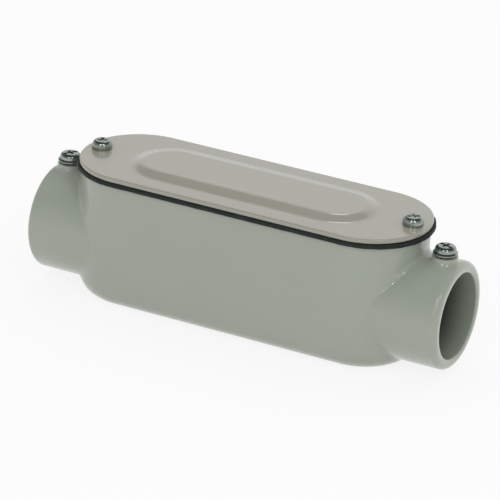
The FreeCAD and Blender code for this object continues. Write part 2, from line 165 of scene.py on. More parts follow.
class CastingFinish(bpy.types.PropertyGroup):
    """Paint of the die-cast body."""
    paint: colour("Paint", "Grey baked enamel in its lighter patches", "9BA296")
    paint_deep: colour("Deep paint", "The same enamel where it lies thicker", "979E92")
    gloss_blur: factor("Roughness", "How far the paint blurs a reflection", 0.30)
    gloss: factor("Gloss", "Weight of the clear top of the coat", 0.7)
    # painted shade: deep in each bore the paint keeps this share of its colour, coat and sheen
    painted_bore_shade: factor("Bore shade", "Share of the paint's colour left deep in a bore", 0.03)
    bore_fade: length("Bore fade", "Depth over which a bore turns dark", 16)
    peel: length("Orange peel", "Width of a dimple of the sprayed paint", 1.4)
    smooth_angle: angle("Smooth angle", "Edges that turn by less than this look round", 50)
    hub_diameter: length("Hub", "Outer diameter of the hubs", 38.1)
    bore: length("Bore", "Diameter of the hubs' bores", 29.9)
    hub_lift: length("Hub lift", "Underside of the hubs above the flat bottom", 1.95)
    hub_reach: length("Hub reach", "How far a hub stands out of the shell", 14.1)
    draft: angle("Draft", "Slope of the cast walls", 0.6)
    bottom_round: length("Bottom round", "Radius round the foot of the shell", 7.5)
    rim_round: length("Rim round", "Radius round the mouth of each hub", 2.2)
    rim_bevel: length("Rim bevel", "Bevel that the solid has in the rim round's place", 1.15)
    skin_slack: length("Skin slack", "How near a point lies to count as on a skin", 0.02)


class GasketShape(bpy.types.PropertyGroup):
    """Shape and colour of the die-cut neoprene ring."""
    opening_lip: length("Opening lip", "Width of the ring inside the casting's rim", 4.9)
    bulge: length("Bulge", "How far the squeezed edge swells", 0.35)
    wander: length("Wander", "How far the cut edge strays from its line", 0.12)
    ear: length("Ear radius", "Ring kept round each cover screw", 4.3)
    rubber: colour("Rubber", "Green-black neoprene", "0D1410")
    bloom: colour("Bloom", "Dusty bloom on the rubber", "1F2924")


class CoverShape(bpy.types.PropertyGroup):
    """Shape and paint of the pressed cover."""
    sheet: length("Sheet", "Thickness of the metal sheet", 1.6)
    edge: length("Edge round", "Radius of the upper edge", 0.5)
    burr: length("Lower edge", "Radius of the lower edge", 0.2)
    end_margin: length("End margin", "Flat between the end and the raised panel", 19.7)
    side_margin: length("Side margin", "Flat between the side and the raised panel", 7.5)
    slope: length("Slope", "Width of the panel's sloping edge", 4.0)
    bend: length("Bend", "Half the width of each pressed bend", 1.3)
    paint: colour("Paint", "Grey baked enamel in its lighter patches", "9B9A8E")
    paint_deep: colour("Deep paint", "The same enamel where it lies thicker", "98978B")
    gloss_blur: factor("Roughness", "How far the paint blurs a reflection", 0.26)
    gloss: factor("Gloss", "Weight of the clear top of the coat", 0.6)
    peel: length("Orange peel", "Width of a dimple of the sprayed paint", 1.6)


class ScrewShape(bpy.types.PropertyGroup):
    """Shape and plating of the cover screws and the set screws."""
    shank: length("Shank", "Outer diameter of the thread", 4.1)
    pitch: length("Pitch", "Distance from one thread to the next", 0.79)
    thread: length("Thread depth", "Depth of the thread", 0.42)
    pan_height: length("Pan head height", "Height of a cover screw's head", 3.0)
    pan_crown: length("Pan head crown", "Diameter of the flat top of the head", 4.7)
    pan_side: length("Pan head side", "Upright part of the head's side", 0.7)
    washer: length("Washer", "Thickness of the washer where it meets the drum", 0.8)
    washer_rim: length("Washer rim", "Thickness of the washer at its rim", 0.7)
    drum: length("Drum", "Diameter of the slotted drum of a set screw", 7.3)
    drum_height: length("Drum height", "Height of the drum above the washer", 2.1)
    drum_round: length("Drum round", "Radius of the drum's upper edge", 1.3)
    slot: length("Slot", "Width of the driving slot", 1.0)
    cover_slot_length: length("Cover screw slot", "Length of a cover screw's slot", 4.3)
    set_slot_length: length("Set screw slot", "Length of a set screw's slot", 5.4)
    slot_depth: length("Slot depth", "Depth of the driving slot", 0.5)
    cross: length("Cross", "Length of the short arm of the recess", 3.4)
    left_cover_turn: angle("Left cover screw", "Where its slot came to rest", 115)
    right_cover_turn: angle("Right cover screw", "Where its slot came to rest", 35)
    left_set_turn: angle("Left set screw", "Where its slot came to rest", 60)
    right_set_turn: angle("Right set screw", "Where its slot came to rest", 160)
    plate: colour("Zinc", "Bright zinc plating", "AAB2AC")
    plate_shade: colour("Dull zinc", "Passivated film in its darker patches", "7C857E")


class StageSettings(bpy.types.PropertyGroup):
    """Camera, floor and lamps."""
    azimuth: angle("Azimuth", "Camera's turn round the fitting", 26.406)
    elevation: angle("Elevation", "Camera's height above the level", 23.949)
    roll: angle("Roll", "Camera's lean", 2.894)
    distance: length("Distance", "Camera to the point it looks at", 1224.1)
    target_x: bpy.props.FloatProperty(
        name="Target X", description="Point looked at, along the hubs",
        default=-0.45 * MM, precision=5, subtype="DISTANCE", unit="LENGTH")
    target_z: length("Target Z", "Height of the point looked at", 25.853)
    lens: bpy.props.FloatProperty(
        name="Lens", description="Focal length in millimetres on a 36 mm sensor",
        default=254.2, min=1)
    floor: colour("Floor", "Pale matt floor and backdrop", "F4F4F2")
    floor_gap: length("Floor gap", "Drop of the floor below the casting's flat base", 0.05)
    sky_light: factor("Sky light", "Level of the even light from all round", 0.64)
    mirror_wall: factor("Mirrored wall", "Level of the wall where it is mirrored", 0.75)
    mirror_roof: factor("Mirrored roof", "Level of the roof where it is mirrored", 0.10)
    floor_seen: factor("Floor seen", "Glow of the floor where it is seen or mirrored", 0.85)
    floor_felt: factor("Floor felt", "Glow of the floor as it lights the fitting", 0.25)


# ---------------------------------------------------------------------------- meshes

def grid_faces(rows, columns, wrap_rows=False):
    """Quads of a grid of points whose columns close into rings, and rows too if wrapped."""
    row = np.arange(rows if wrap_rows else rows - 1)[:, None]
    column = np.arange(columns)[None, :]
    after_row = (row + 1) % rows
    after_column = (column + 1) % columns
    corners = [row * columns + column, after_row * columns + column,
               after_row * columns + after_column, row * columns + after_column]
    return np.stack(np.broadcast_arrays(*corners), axis=-1).reshape(-1, 4)


def add_mesh(name, points, faces):
    """A new object whose mesh has these points and faces, shaded smooth."""
    mesh = bpy.data.meshes.new(name)
    mesh.from_pydata(points.reshape(-1, 3).tolist(), [], [list(face) for face in faces])
    mesh.validate()
    mesh.polygons.foreach_set("use_smooth", np.ones(len(mesh.polygons), bool))
    made = bpy.data.objects.new(name, mesh)
    bpy.context.scene.collection.objects.link(made)
    return made


def keep_edges(piece, smooth_angle):
    """Keep edges that turn by more than an angle crisp, and let large faces lead the shading."""
    piece.data.set_sharp_from_angle(angle=smooth_angle)
    weighted = piece.modifiers.new("Shading", "WEIGHTED_NORMAL")
    weighted.keep_sharp = True


def cut_away(piece, cutter):
    """Take the cutter's volume out of a piece, and remove the cutter."""
    cut = piece.modifiers.new("Cut", "BOOLEAN")
    cut.operation = "DIFFERENCE"
    cut.solver = "EXACT"
    cut.object = cutter
    graph = bpy.context.evaluated_depsgraph_get()
    finished = bpy.data.meshes.new_from_object(piece.evaluated_get(graph))
    piece.modifiers.remove(cut)
    piece.data = finished
    bpy.data.objects.remove(cutter)


def dress(piece, material, body, node):
    """Give a piece its material, body and slot in place of a CAD node."""
    piece.data.materials.clear()
    piece.data.materials.append(material)
    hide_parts(node)
    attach(piece, body)


def stadium_path(end_steps=72, side_steps=24):
    """Spine and angle round a stadium, from its near right corner, seen from above.

    The spine runs from 1 at the right centre to -1 at the left one, and the angle
    turns half a circle about each centre while the other of the two stands still.
    """
    turn = np.linspace(-np.pi / 2, np.pi / 2, end_steps + 1)
    walk = np.linspace(1, -1, side_steps + 1)[1:-1]
    spine = np.concatenate([np.ones_like(turn), walk, -np.ones_like(turn), -walk])
    heading = np.concatenate([turn, np.full_like(walk, np.pi / 2),
                              turn + np.pi, np.full_like(walk, -np.pi / 2)])
    return spine, heading, end_steps


def stadium_rings(centre, radius, height):
    """Points of nested stadiums, one a row.

    x = centre * spine + radius * cos(angle), y = radius * sin(angle), z = height.
    """
    spine, heading, _ = stadium_path()
    x = centre[:, None] * spine + radius * np.cos(heading)
    y = radius * np.sin(heading)
    z = np.broadcast_to(height[:, None], x.shape)
    return np.stack(np.broadcast_arrays(x, y, z), axis=-1)


def stadium_lid(first, columns, upward=True):
    """Faces that close one ring: each point of its far side joins the one across."""
    _, _, end_steps = stadium_path()
    far = end_steps // 2 + np.arange(columns // 2 + 1)
    near = (end_steps - far) % columns
    far = far % columns
    faces = [[a, b, c, d] for a, b, c, d in zip(far, far[1:], near[1:], near)]
    faces = [list(dict.fromkeys(face)) for face in faces]
    return [[first + index for index in (face if upward else face[::-1])] for face in faces]


def quarter_turn(steps):
    """Angles from 0 to a right angle."""
    return np.linspace(0, np.pi / 2, steps + 1)


def lathe(name, radius, height, place, columns=TURNED_POINTS):
    """A closed solid turned about a vertical line through place.

    Row i is a ring: x = radius[i] * cos(a), y = radius[i] * sin(a), z = height[i], with
    the angle a running once round. radius may have one value a row, or one a point.
    """
    heading = np.linspace(0, 2 * np.pi, columns, endpoint=False)
    radius = radius if radius.ndim == 2 else radius[:, None]
    x = place.x + radius * np.cos(heading)
    y = place.y + radius * np.sin(heading)
    z = np.broadcast_to(height[:, None], x.shape)
    points = np.stack([x, y, z], axis=-1)
    rows = len(height)
    foot = list(range(columns))[::-1]
    crown = list(range((rows - 1) * columns, rows * columns))
    # rows rise here, so the grid's quads are turned to face outwards
    faces = [*grid_faces(rows, columns)[:, ::-1].tolist(), foot, crown]
    return add_mesh(name, points, faces)


# ------------------------------------------------------------------------- materials

def enamel(name, finish, bore=None):
    """Baked polyester enamel sprayed on metal: satin gloss over a fine orange peel.

    It looks even from a step away, with soft wide highlights that the peel breaks a
    little, a clear sharp film over them, and faint clouds where the coat is thicker.
    bore gives a hub's radius, axis height and mouth; down each bore the colour, coat and sheen
    are darkened as painted shade.
    """
    material = blank_material(name)
    tree = material.node_tree
    place = add_node(tree, "ShaderNodeTexCoord").outputs["Object"]
    clouds = add_node(tree, "ShaderNodeTexNoise", {
        "Vector": place, "Scale": per_metre(25), "Detail": 1.0, "Roughness": 0.4})
    tone = add_node(tree, "ShaderNodeMix", {
        0: clouds.outputs["Fac"], 6: finish.paint_deep, 7: finish.paint}, data_type="RGBA")
    coloured = tone.outputs[2]
    coat = finish.gloss
    sheen = 0.5     # the shader's own level
    # painted shade down each bore: a darker colour, a weaker coat and less sheen
    if bore:
        shade = painted_bore_shade(tree, place, finish, *bore)
        darker = add_node(tree, "ShaderNodeVectorMath", {0: coloured, 3: shade},
                          operation="SCALE")
        coloured = darker.outputs[0]
        shaded_coat = add_node(tree, "ShaderNodeMath", {0: shade, 1: finish.gloss},
                           operation="MULTIPLY")
        coat = shaded_coat.outputs[0]
        shaded_sheen = add_node(tree, "ShaderNodeMath", {0: shade, 1: sheen},
                          operation="MULTIPLY")
        sheen = shaded_sheen.outputs[0]
    dimples = add_node(tree, "ShaderNodeTexNoise", {
        "Vector": place, "Scale": 1 / finish.peel, "Detail": 0.0})
    skin = add_node(tree, "ShaderNodeBump", {
        "Strength": 0.25, "Distance": 0.015 * MM, "Height": dimples.outputs["Fac"]})
    surface = add_node(tree, "ShaderNodeBsdfPrincipled", {
        "Base Color": coloured, "Roughness": finish.gloss_blur,
        "Normal": skin.outputs[0], "IOR": 1.5, "Specular IOR Level": sheen,
        "Coat Weight": coat, "Coat Roughness": 0.06})
    add_node(tree, "ShaderNodeOutputMaterial", {"Surface": surface.outputs[0]})
    return material


def painted_bore_shade(tree, place, finish, radius, axis_z, mouth):
    """Share of the paint's colour, as painted shade: 1 outside, fading to the painted bore shade
    down each bore.
    """
    spot = add_node(tree, "ShaderNodeSeparateXYZ", {"Vector": place})
    level = add_node(tree, "ShaderNodeMath", {
        0: spot.outputs["Z"], 1: axis_z}, operation="SUBTRACT")
    across = add_node(tree, "ShaderNodeCombineXYZ", {
        "Y": spot.outputs["Y"], "Z": level.outputs[0]})
    reach = add_node(tree, "ShaderNodeVectorMath", {0: across.outputs[0]}, operation="LENGTH")
    inside = add_node(tree, "ShaderNodeMapRange", {
        "Value": reach.outputs["Value"], "From Min": radius + 0.3 * MM,
        "From Max": radius + 0.8 * MM, "To Min": 1.0, "To Max": 0.0})
    along = add_node(tree, "ShaderNodeMath", {0: spot.outputs["X"]}, operation="ABSOLUTE")
    depth = add_node(tree, "ShaderNodeMapRange", {
        "Value": along.outputs[0], "From Min": mouth - finish.bore_fade, "From Max": mouth,
        "To Min": 1 - finish.painted_bore_shade, "To Max": 0.0}, interpolation_type="SMOOTHSTEP")
    loss = add_node(tree, "ShaderNodeMath", {
        0: inside.outputs[0], 1: depth.outputs[0]}, operation="MULTIPLY")
    left = add_node(tree, "ShaderNodeMath", {0: 1.0, 1: loss.outputs[0]},
                    operation="SUBTRACT")
    return left.outputs[0]


def neoprene(name, rubber, bloom):
    """Die-cut neoprene sheet: matt green-black with a dusty bloom and a fine grain."""
    material = blank_material(name)
    tree = material.node_tree
    place = add_node(tree, "ShaderNodeTexCoord").outputs["Object"]
    dust = add_node(tree, "ShaderNodeTexNoise", {
        "Vector": place, "Scale": per_metre(2.2), "Detail": 4.0, "Roughness": 0.7})
    settled = add_node(tree, "ShaderNodeMapRange", {
        "Value": dust.outputs["Fac"], "From Min": 0.48, "From Max": 0.75})
    tone = add_node(tree, "ShaderNodeMix", {
        0: settled.outputs[0], 6: rubber, 7: bloom}, data_type="RGBA")
    grain = add_node(tree, "ShaderNodeTexNoise", {
        "Vector": place, "Scale": per_metre(0.35), "Detail": 3.0, "Roughness": 0.65})
    skin = add_node(tree, "ShaderNodeBump", {
        "Strength": 0.5, "Distance": 0.08 * MM, "Height": grain.outputs["Fac"]})
    surface = add_node(tree, "ShaderNodeBsdfPrincipled", {
        "Base Color": tone.outputs[2], "Roughness": 0.62, "IOR": 1.52,
        "Specular IOR Level": 0.35, "Normal": skin.outputs[0]})
    add_node(tree, "ShaderNodeOutputMaterial", {"Surface": surface.outputs[0]})
    return material


def zinc_plate(name, plate, plate_shade):
    """Zinc-plated steel, turned and barrel plated: bright metal under a thin clear film."""
    material = blank_material(name)
    tree = material.node_tree
    place = add_node(tree, "ShaderNodeTexCoord").outputs["Object"]
    film = add_node(tree, "ShaderNodeTexNoise", {
        "Vector": place, "Scale": per_metre(1.8), "Detail": 3.0, "Roughness": 0.6})
    tone = add_node(tree, "ShaderNodeMix", {
        0: film.outputs["Fac"], 6: plate_shade, 7: plate}, data_type="RGBA")
    tumble = add_node(tree, "ShaderNodeTexNoise", {
        "Vector": place, "Scale": per_metre(0.5), "Detail": 2.0, "Roughness": 0.6})
    skin = add_node(tree, "ShaderNodeBump", {
        "Strength": 0.25, "Distance": 0.02 * MM, "Height": tumble.outputs["Fac"]})
    blur = add_node(tree, "ShaderNodeMapRange", {
        "Value": film.outputs["Fac"], "To Min": 0.16, "To Max": 0.30})
    surface = add_node(tree, "ShaderNodeBsdfPrincipled", {
        "Base Color": tone.outputs[2], "Metallic": 1.0, "Roughness": blur.outputs[0],
        "Normal": skin.outputs[0]})
    add_node(tree, "ShaderNodeOutputMaterial", {"Surface": surface.outputs[0]})
    return material


# ---------------------------------------------------------------------------- pieces

def merged_solid(node):
    """Points and triangles of a CAD node, with points that share a place made one."""
    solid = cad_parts[node].data
    corners = np.empty(len(solid.vertices) * 3)
    solid.vertices.foreach_get("co", corners)
    triangles = np.empty(len(solid.polygons) * 3, int)
    solid.polygons.foreach_get("vertices", triangles)
    corners = corners.reshape(-1, 3)
    _, first, merged = np.unique(np.round(corners / (1e-4 * MM)), axis=0,
                                 return_index=True, return_inverse=True)
    return corners[first], merged.reshape(-1)[triangles].reshape(-1, 3)


def slice_skin(mesh, on_skin, axis, levels):
    """Cut the triangles of a skin along planes square to an axis, one at each level.

    A triangle belongs to the skin when its three points do. Returns the points of the
    mesh after the cuts, and which of them belong to the skin.
    """
    corners = np.empty(len(mesh.polygons) * 3, int)
    mesh.polygons.foreach_get("vertices", corners)
    chosen = on_skin[corners.reshape(-1, 3)].all(axis=1)
    work = bmesh.new()
    work.from_mesh(mesh)
    work.faces.ensure_lookup_table()
    faces = [work.faces[index] for index in np.flatnonzero(chosen)]
    for level in levels:
        edges = {edge for face in faces for edge in face.edges}
        cut = bmesh.ops.bisect_plane(
            work, geom=[*faces, *edges], dist=1e-3 * MM,
            plane_co=Vector(axis) * level, plane_no=Vector(axis))
        faces = [item for item in cut["geom"] if isinstance(item, bmesh.types.BMFace)]
    work.verts.index_update()
    skin = np.zeros(len(work.verts), bool)
    skin[[corner.index for face in faces for corner in face.verts]] = True
    bmesh.ops.triangulate(work, faces=[face for face in work.faces if len(face.verts) > 3])
    work.to_mesh(mesh)
    work.free()
    return mesh_points(mesh), skin


def mesh_points(mesh):
    """Coordinates of a mesh's points, one row each."""
    points = np.empty(len(mesh.vertices) * 3)
    mesh.vertices.foreach_get("co", points)
    return points.reshape(-1, 3)


def rolled(wall, corner, depth):
    """Radius of a quarter round at a depth behind the end face it runs into.

    It is wall - corner + sqrt(corner ** 2 - (corner - depth) ** 2), and wall beyond the round.
    """
    left = np.clip(corner - depth, 0, corner)
    return wall - corner + np.sqrt(corner ** 2 - left ** 2)


def round_levels(corner, steps):
    """Depths of rings spread evenly along a quarter round."""
    return corner * (1 - np.cos(quarter_turn(steps)[1:]))


def round_bottom(mesh, finish):
    """Roll the three flats round the shell's foot into a quarter round.

    The shell's skin stands a radius from its spine, the line between the end centres;
    below the round's height each ring takes the round's radius and keeps its height.
    """
    end = CASTING_BOX[1].x - finish.hub_reach
    half = CASTING_BOX[1].y
    corner = finish.bottom_round
    knees = FLAT_ENDS * corner

    def place(points):
        beyond = points[:, 0] - np.clip(points[:, 0], half - end, end - half)
        wall = half - (CASTING_BOX[1].z - points[:, 2]) * math.tan(finish.draft)
        return beyond, np.hypot(beyond, points[:, 1]), wall

    points = mesh_points(mesh)
    _, radius, wall = place(points)
    flats = wall - np.interp(points[:, 2], knees, knees[::-1])
    on_skin = np.abs(radius - flats) < finish.skin_slack
    points, skin = slice_skin(mesh, on_skin, (0, 0, 1), round_levels(corner, BOTTOM_STEPS))
    beyond, radius, wall = place(points)
    share = np.where(skin, rolled(wall, corner, points[:, 2]) / radius, 1)
    points[:, 0] += beyond * (share - 1)
    points[:, 1] *= share
    mesh.vertices.foreach_set("co", points.ravel())


def round_rims(mesh, finish):
    """Roll the bevel round each hub's mouth into a quarter round about the hub's axis."""
    mouth = CASTING_BOX[1].x
    corner = finish.rim_round
    hub = finish.hub_diameter / 2
    axis_z = finish.hub_lift + hub

    def place(points):
        return (mouth - np.abs(points[:, 0]),
                np.hypot(points[:, 1], points[:, 2] - axis_z))

    points = mesh_points(mesh)
    depth, radius = place(points)
    bevelled = hub - np.clip(finish.rim_bevel - depth, 0, None)
    on_skin = np.abs(radius - bevelled) < finish.skin_slack
    levels = mouth - round_levels(corner, RIM_STEPS)
    points, skin = slice_skin(mesh, on_skin, (1, 0, 0), [*levels, *-levels])
    depth, radius = place(points)
    share = np.where(skin, rolled(hub, corner, depth) / radius, 1)
    points[:, 1] *= share
    points[:, 2] = axis_z + (points[:, 2] - axis_z) * share
    mesh.vertices.foreach_set("co", points.ravel())


class CONDUIT_OT_casting(bpy.types.Operator):
    """Paint the die-cast body: a merged copy of its solid, with its flats rolled round"""
    bl_idname = "conduit.casting"
    bl_label = "Casting"

    def execute(self, context):
        finish = context.scene.conduit_casting
        points, faces = merged_solid("body_casting")
        piece = add_mesh("casting_enamelled", points, faces.tolist())
        round_bottom(piece.data, finish)
        round_rims(piece.data, finish)
        keep_edges(piece, finish.smooth_angle)
        # hub size and mouth, down whose bores the enamel is darkened as painted shade
        bore = (finish.bore / 2, finish.hub_lift + finish.hub_diameter / 2,
                CASTING_BOX[1].x)
        paint = enamel("casting_baked_enamel", finish, bore)
        dress(piece, paint, "fitting", "body_casting")
        return {"FINISHED"}


def screw_place(node):
    """The point on a screw's axis at the tip of its solid."""
    low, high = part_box(node)
    return Vector(((low.x + high.x) / 2, (low.y + high.y) / 2, low.z))


def punch_holes(piece, name, places):
    """Cut an upright round hole through a piece at each of the cover screws' places."""
    radius = np.array([SCREW_HOLE, SCREW_HOLE])
    height = np.array([0, 1])
    for index, place in enumerate(places):
        cut_away(piece, lathe(f"{name}_{index}", radius, height, place, HOLE_POINTS))


class CONDUIT_OT_gasket(bpy.types.Operator):
    """Make the neoprene ring with its swollen edge and an ear round each cover screw"""
    bl_idname = "conduit.gasket"
    bl_label = "Gasket"

    def execute(self, context):
        shape = context.scene.conduit_gasket
        low, high = GASKET_BOX
        middle = (low.z + high.z) / 2
        half = (high.z - low.z) / 2
        outer = high.y
        centre = high.x - outer
        inner_centre = COVER_BOX[1].x - COVER_BOX[1].y
        screws = [screw_place(f"cover_screw_{side}") for side in SIDES]
        spine, heading, _ = stadium_path()
        # the opening's edge goes inside the ear where a ray from the end's centre meets it
        reach = screws[1].x - inner_centre
        off_axis = reach * np.sin(heading)
        meets = (np.abs(off_axis) < shape.ear) & (np.abs(spine) == 1)
        root = np.sqrt(np.clip(shape.ear ** 2 - off_axis ** 2, 0, None))
        opening = np.where(meets, reach * np.abs(np.cos(heading)) - root,
                           outer - shape.opening_lip)
        # rows: over the top, down the swollen edge, back under, up inside
        sweep = np.linspace(np.pi / 2, -np.pi / 2, GASKET_EDGE_ROWS)
        edge = outer - shape.bulge * (1 - np.cos(sweep))
        along = (centre * spine + outer * heading) / MM
        long_wave, short_wave = WAVES
        wander = shape.wander * np.mean(
            [np.sin(long_wave * along), np.sin(short_wave * along + 1)], axis=0)
        radius = np.vstack([opening, *[r + wander for r in edge], opening])
        centres = np.concatenate(
            [[inner_centre], np.full(GASKET_EDGE_ROWS, centre), [inner_centre]])
        height = np.concatenate([[high.z], middle + half * np.sin(sweep), [low.z]])
        points = stadium_rings(centres, radius, height)
        faces = grid_faces(len(height), points.shape[1], wrap_rows=True)
        piece = add_mesh("gasket_die_cut", points, faces.tolist())
        punch_holes(piece, "gasket_punch", screws)
        keep_edges(piece, SHEET_SMOOTH)
        dress(piece, neoprene("neoprene_sheet", shape.rubber, shape.bloom),
              "fitting", "gasket")
        return {"FINISHED"}


class CONDUIT_OT_cover(bpy.types.Operator):
    """Press the cover: a stadium of sheet with a raised panel, a rolled edge and two holes"""
    bl_idname = "conduit.cover"
    bl_label = "Cover"

    def execute(self, context):
        shape = context.scene.conduit_cover
        low, high = COVER_BOX
        top = low.z + shape.sheet
        rise = high.z - top
        radius = high.y
        centre = high.x - radius
        panel_radius = radius - shape.side_margin
        panel_centre = high.x - shape.end_margin - panel_radius

        # the panel: from its plateau out over the slope to the flat margin
        spread = np.linspace(-shape.bend, shape.slope + shape.bend, PANEL_ROWS)
        panel = panel_radius - shape.slope + spread
        drop = pressed_slope(spread, rise, shape.slope, shape.bend)
        upper = [(panel_centre, r, top + rise - d) for r, d in zip(panel, drop)]
        turn = quarter_turn(SHEET_EDGE_STEPS)
        brim = [(centre, radius - shape.edge * (1 - math.sin(a)),
                 top - shape.edge * (1 - math.cos(a))) for a in turn]
        burr = [(centre, radius - shape.burr * (1 - math.cos(a)),
                 low.z + shape.burr * (1 - math.sin(a))) for a in turn]
        # under the panel the sheet keeps its thickness square to the slope
        shift = shape.sheet * rise / shape.slope / 2
        under = [(c, r - shift, z - shape.sheet) for c, r, z in reversed(upper)]
        rows = np.array([*upper, *brim, *burr, *under])
        points = stadium_rings(rows[:, 0], rows[:, 1:2], rows[:, 2])
        count, columns = points.shape[:2]
        faces = [*grid_faces(count, columns).tolist(), *stadium_lid(0, columns),
                 *stadium_lid((count - 1) * columns, columns, upward=False)]
        piece = add_mesh("cover_pressed", points, faces)
        screws = [screw_place(f"cover_screw_{side}") for side in SIDES]
        punch_holes(piece, "cover_punch", screws)
        keep_edges(piece, SHEET_SMOOTH)
        paint = enamel("cover_baked_enamel", shape)
        dress(piece, paint, "fitting", "cover")
        return {"FINISHED"}


def pressed_slope(spread, rise, run, bend):
    """Drop below the plateau, a distance out from the top of a straight slope.

    It is 0, then rise * spread / run, then rise, and each knee is turned over 2 * bend
    by a parabola: the integral of a gradient that fades in and out in a straight line.
    """
    gradient = rise / run
    knee_in = np.clip(spread + bend, 0, 2 * bend) ** 2 / (4 * bend)
    knee_out = np.clip(spread - run + bend, 0, 2 * bend) ** 2 / (4 * bend)
    straight = np.clip(spread - bend, 0, None) - np.clip(spread - run - bend, 0, None)
    return gradient * (knee_in + straight - knee_out)


def threaded_shank(shape, seat):
    """Radius and height of a screw's shank from its tip to its seat, one value a point.

    The thread's depth follows a triangle wave of height / pitch - angle / full turn,
    clipped flat at crest and root, and fades out at the chamfered tip.
    """
    heading = np.linspace(0, 2 * np.pi, TURNED_POINTS, endpoint=False)
    height = np.arange(0, seat, shape.pitch / THREAD_ROWS)
    phase = height[:, None] / shape.pitch - heading / (2 * np.pi)
    wave = np.abs((phase % 1) * 2 - 1)
    steepness, offset = FLANK
    cut = np.clip(wave * steepness - offset, 0, 1) * shape.thread
    radius = shape.shank / 2 - cut
    tip = shape.shank / 2 - shape.thread - TIP_CHAMFER + height[:, None]
    return np.minimum(radius, tip), height


def tapered_bar(name, place, length, width, floor, top, turn):
    """A bar with sides that open upwards, centred on place and turned about the vertical."""
    u = np.array([-1, 1, 1, -1] * 2) * length / 2
    opening = np.repeat([1, SLOT_FLARE], 4)
    v = np.array([-1, -1, 1, 1] * 2) * width / 2 * opening
    z = np.repeat([floor, top], 4)
    x = place.x + u * math.cos(turn) - v * math.sin(turn)
    y = place.y + u * math.sin(turn) + v * math.cos(turn)
    faces = [[3, 2, 1, 0], [4, 5, 6, 7],
             [0, 1, 5, 4], [1, 2, 6, 5], [2, 3, 7, 6], [3, 0, 4, 7]]
    return add_mesh(name, np.stack([x, y, z], axis=-1), faces)


def make_screw(node, body, shape, seat, head, slot_length, turn, material):
    """A turned screw: threaded shank, then head rows of radius and height above the seat."""
    place = screw_place(node)
    shank, height = threaded_shank(shape, seat)
    head = np.array(head)
    ring = np.ones((1, TURNED_POINTS))
    radius = np.vstack([shank, shape.shank / 2 * ring, head[:, :1] * ring])
    height = place.z + np.concatenate([height, [seat], seat + head[:, 1]])
    piece = lathe(f"{node}_turned", radius, height, place)
    crown = height[-1]
    floor = crown - shape.slot_depth
    above = crown + CUTTER_ROOM
    slot = tapered_bar("slot_cutter", place, slot_length, shape.slot, floor, above, turn)
    cut_away(piece, slot)
    cross = tapered_bar("cross_cutter", place, shape.cross, shape.slot * CROSS_WIDTH,
                        floor, above, turn + math.pi / 2)
    cut_away(piece, cross)
    keep_edges(piece, SCREW_SMOOTH)
    dress(piece, material, body, node)


class CONDUIT_OT_cover_screws(bpy.types.Operator):
    """Turn the two pan-head screws that hold the cover and the gasket down"""
    bl_idname = "conduit.cover_screws"
    bl_label = "Cover screws"

    def execute(self, context):
        shape = context.scene.conduit_screws
        metal = zinc_plate("cover_screw_zinc", shape.plate, shape.plate_shade)
        for side in SIDES:
            node = f"cover_screw_{side}"
            low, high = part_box(node)
            seat = COVER_BOX[0].z + context.scene.conduit_cover.sheet - low.z
            reach = (high.x - low.x) / 2
            crown = shape.pan_crown / 2
            dome = shape.pan_height - shape.pan_side
            head = [(reach, 0), *[(crown + (reach - crown) * math.cos(a),
                                   shape.pan_side + dome * math.sin(a))
                                  for a in quarter_turn(PAN_DOME_STEPS)]]
            make_screw(node, "fitting", shape, seat, head, shape.cover_slot_length,
                       getattr(shape, f"{side}_cover_turn"), metal)
        return {"FINISHED"}


class CONDUIT_OT_set_screws(bpy.types.Operator):
    """Turn the two washer-head set screws that clamp the conduit in the hubs"""
    bl_idname = "conduit.set_screws"
    bl_label = "Set screws"

    def execute(self, context):
        shape = context.scene.conduit_screws
        metal = zinc_plate("set_screw_zinc", shape.plate, shape.plate_shade)
        for side in SIDES:
            node = f"set_screw_{side}"
            low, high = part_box(node)
            drum = shape.drum / 2
            reach = (high.x - low.x) / 2
            crown = high.z - low.z
            seat = crown - shape.drum_height - shape.washer
            lip = WASHER_LIP
            shoulder = shape.washer + shape.drum_height - shape.drum_round
            head = [(reach - lip, 0), (reach, lip), (reach, shape.washer_rim - lip),
                    (reach - lip, shape.washer_rim), (drum + lip, shape.washer),
                    (drum, shape.washer + lip),
                    *[(drum - shape.drum_round * (1 - math.cos(a)),
                       shoulder + shape.drum_round * math.sin(a))
                      for a in quarter_turn(DRUM_ROUND_STEPS)]]
            make_screw(node, f"{side}_set_screw", shape, seat, head, shape.set_slot_length,
                       getattr(shape, f"{side}_set_turn"), metal)
        return {"FINISHED"}


# ----------------------------------------------------------------------------- stage

class CONDUIT_OT_stage(bpy.types.Operator):
    """Set the camera, the pale floor and backdrop, the sky and the lamps"""
    bl_idname = "conduit.stage"
    bl_label = "Stage"

    def execute(self, context):
        stage = context.scene.conduit_stage
        place_camera(stage)
        lay_floor(stage)
        light_sky(stage)
        hang_lamps()
        context.scene.view_settings.view_transform = "Standard"
        return {"FINISHED"}


def place_camera(stage):
    """Look at the target from an azimuth, elevation and distance, leaning by the roll."""
    back = Vector((math.sin(stage.azimuth) * math.cos(stage.elevation),
                   -math.cos(stage.azimuth) * math.cos(stage.elevation),
                   math.sin(stage.elevation)))
    level = Vector((math.cos(stage.azimuth), math.sin(stage.azimuth), 0))
    rise = back.cross(level)
    right = level * math.cos(stage.roll) + rise * math.sin(stage.roll)
    up = rise * math.cos(stage.roll) - level * math.sin(stage.roll)
    data = bpy.data.cameras.new("studio_camera")
    data.lens = stage.lens
    data.clip_start = 0.05
    camera = bpy.data.objects.new("studio_camera", data)
    bpy.context.scene.collection.objects.link(camera)
    target = Vector((stage.target_x, 0, stage.target_z))
    axes = Matrix((right, up, back)).transposed().to_4x4()
    camera.matrix_world = Matrix.Translation(target + back * stage.distance) @ axes
    bpy.context.scene.camera = camera


